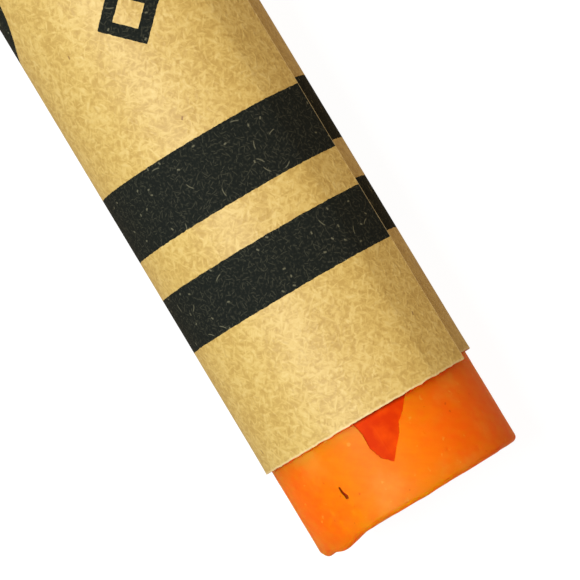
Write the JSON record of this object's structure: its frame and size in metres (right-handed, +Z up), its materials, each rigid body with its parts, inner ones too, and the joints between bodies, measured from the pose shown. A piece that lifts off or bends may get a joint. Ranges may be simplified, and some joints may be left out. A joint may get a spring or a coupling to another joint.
{
  "type": "crayon",
  "caption": "Wax crayon lying on its side: a moulded orange wax stick with a cone tip and flat butt, in a rolled and pasted tan paper label printed with black bands.",
  "frame": {"origin": "on the table that the crayon lies on, under the middle of its length", "axes": "+X along the stick from the butt to the marking tip, +Z up, +Y to the side away from the label's seam"},
  "size_m": [0.092, 0.008, 0.0081],
  "materials": {
    "wax": "moulded wax, satin, slightly bloomed",
    "paper": "uncoated fibrous tan paper printed in black",
    "paste": "dried starch paste"
  },
  "bodies": {
    "root": {"wax_stick": "wax", "paper_label": "paper", "label_paste": "paste"}
  },
  "joints": []
}
